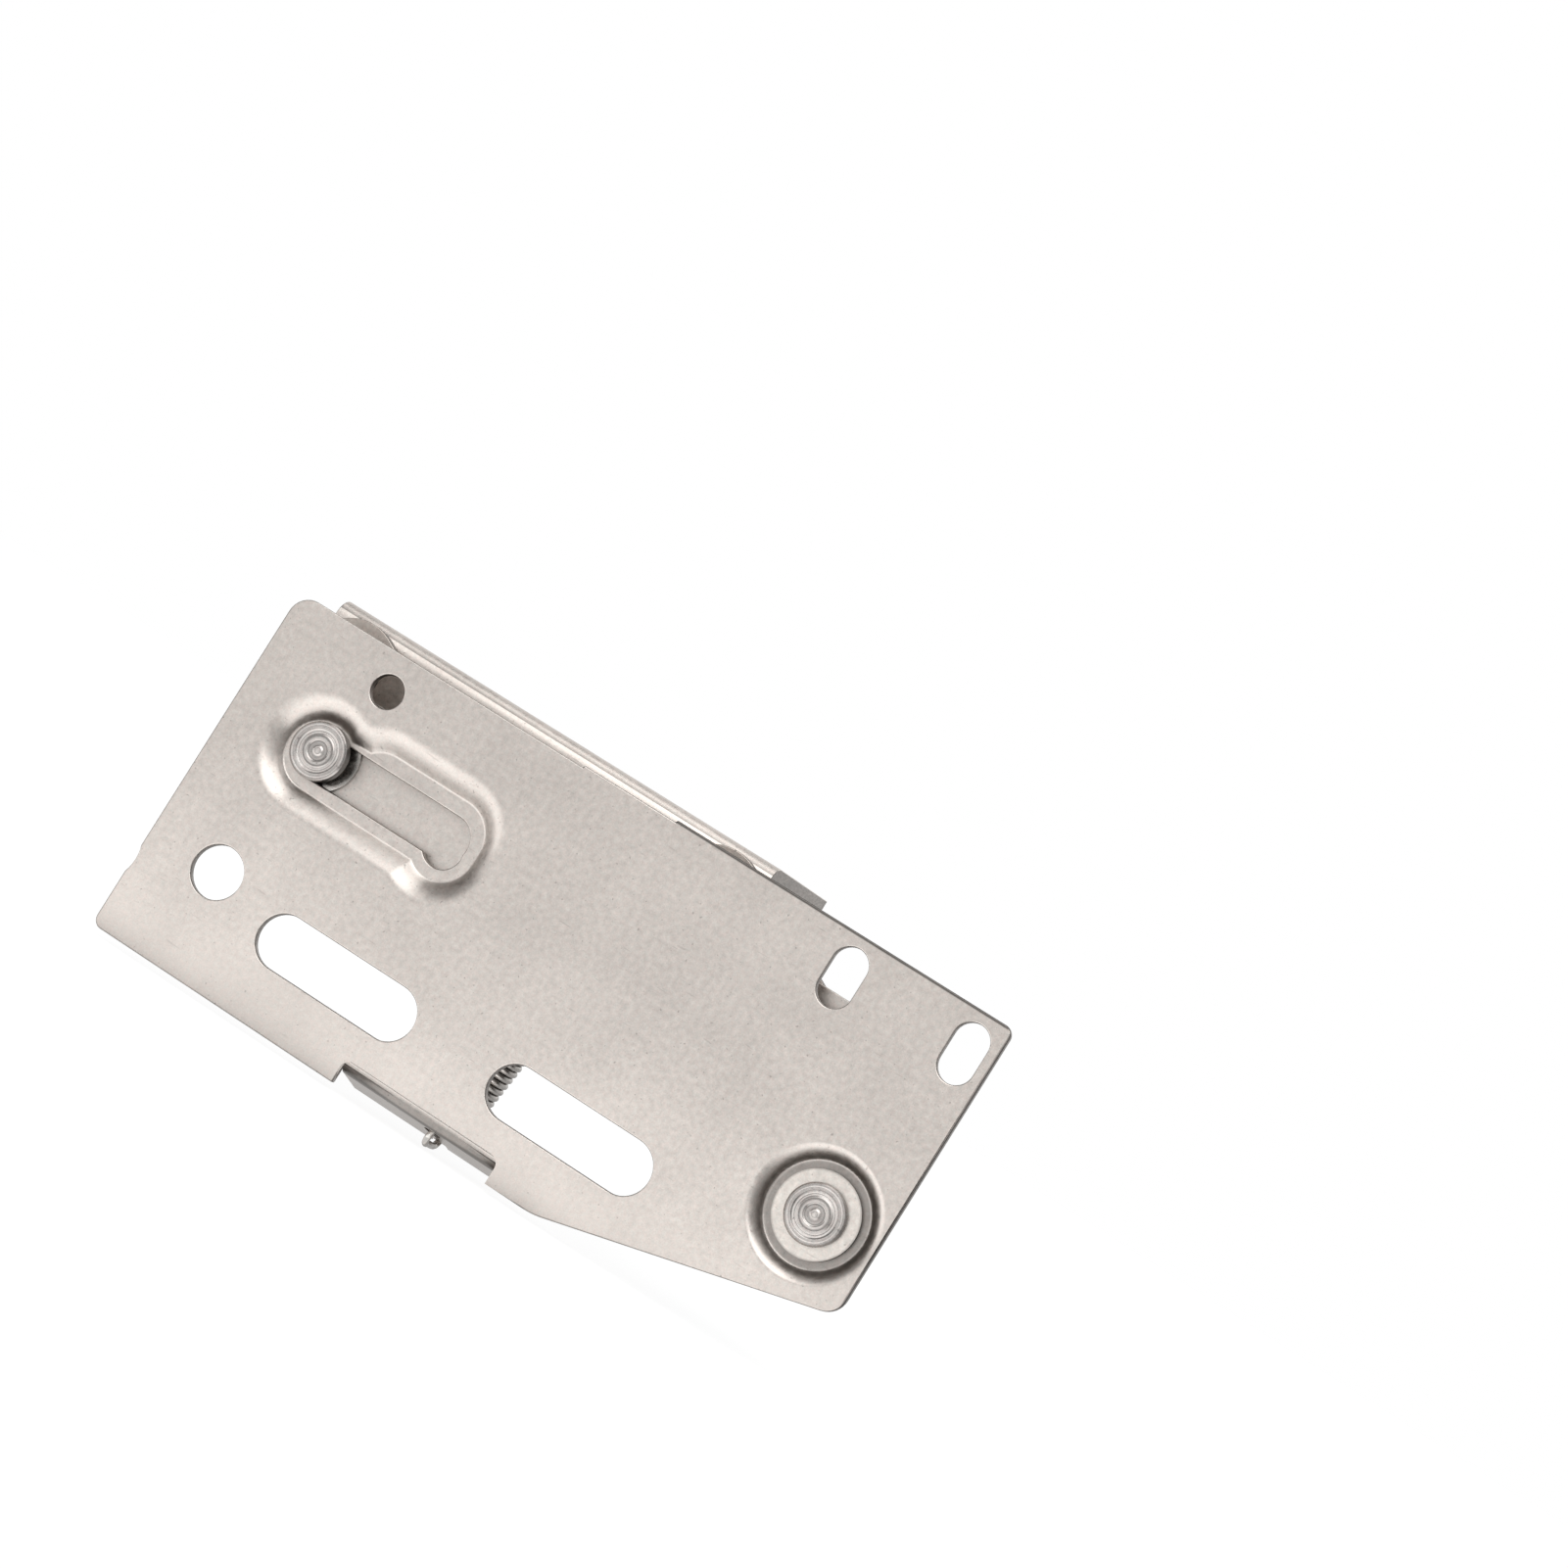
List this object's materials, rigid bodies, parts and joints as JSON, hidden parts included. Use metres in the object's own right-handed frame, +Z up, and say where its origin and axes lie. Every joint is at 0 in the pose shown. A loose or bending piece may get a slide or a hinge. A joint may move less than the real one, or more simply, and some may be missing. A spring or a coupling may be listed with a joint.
{
  "type": "flip-up door hinge",
  "caption": "Stamped steel flip-up door hinge: side plate with a guide slot, pinned arms and a door bracket, held by a tension spring.",
  "frame": {"origin": "centre of the mounting plate's two long fixing slots, on the plate's mounting face", "axes": "+X along the plate from its front end to the main pivot, +Y from the side wall into the cabinet, +Z up"},
  "size_m": [0.096, 0.0388, 0.0469],
  "materials": {
    "plate_steel": "satin plated, fine grain",
    "bracket_steel": "satin plated, fine grain, warmer",
    "arm_steel": "dull plated faces, bright sheared edges",
    "rivet_steel": "spun rings",
    "wire_steel": "bright drawn wire"
  },
  "bodies": {
    "plate": {"mounting_plate": "plate_steel", "pivot_bush": "plate_steel", "pivot_rivet": "rivet_steel", "pivot_washer": "plate_steel", "tension_spring": "wire_steel"},
    "long_arm": {"long_arm": "arm_steel", "long_arm_rivet": "rivet_steel", "long_arm_washer": "wire_steel"},
    "bracket": {"door_bracket": "bracket_steel"},
    "slide_link": {"slide_link": "plate_steel", "slide_pin": "rivet_steel", "slide_pin_washer": "wire_steel", "centre_rivet": "rivet_steel", "centre_spacer": "plate_steel", "link_end_rivet": "rivet_steel", "link_end_spacer": "plate_steel"},
    "short_arm": {"short_arm": "arm_steel", "short_arm_rivet": "rivet_steel", "short_arm_washer": "wire_steel"}
  },
  "joints": [
    {"name": "long_arm_pivot", "type": "hinge", "parent": "plate", "child": "long_arm", "pos_m": [0.0441, 0, 0.0068], "axis": [0, -1, 0], "range_deg": [-18.5, 0], "deforming": ["tension_spring"]},
    {"name": "door_lift", "type": "hinge", "parent": "long_arm", "child": "bracket", "pos_m": [-0.0372, 0, 0.0298], "axis": [0, -1, 0], "range_deg": [0, 90]},
    {"name": "slide_link_pivot", "type": "hinge", "parent": "long_arm", "child": "slide_link", "pos_m": [-0.0144, 0, 0.0189], "axis": [0, -1, 0], "range_deg": [0, 90]},
    {"name": "short_arm_pivot", "type": "hinge", "parent": "bracket", "child": "short_arm", "pos_m": [0.0135, 0, 0.0298], "axis": [0, -1, 0], "range_deg": [-90, 0]}
  ],
  "couplings": [
    {"joint": "long_arm_pivot", "follows": "door_lift", "ratio": -0.205},
    {"joint": "slide_link_pivot", "follows": "door_lift", "ratio": 1},
    {"joint": "short_arm_pivot", "follows": "door_lift", "ratio": -1}
  ]
}
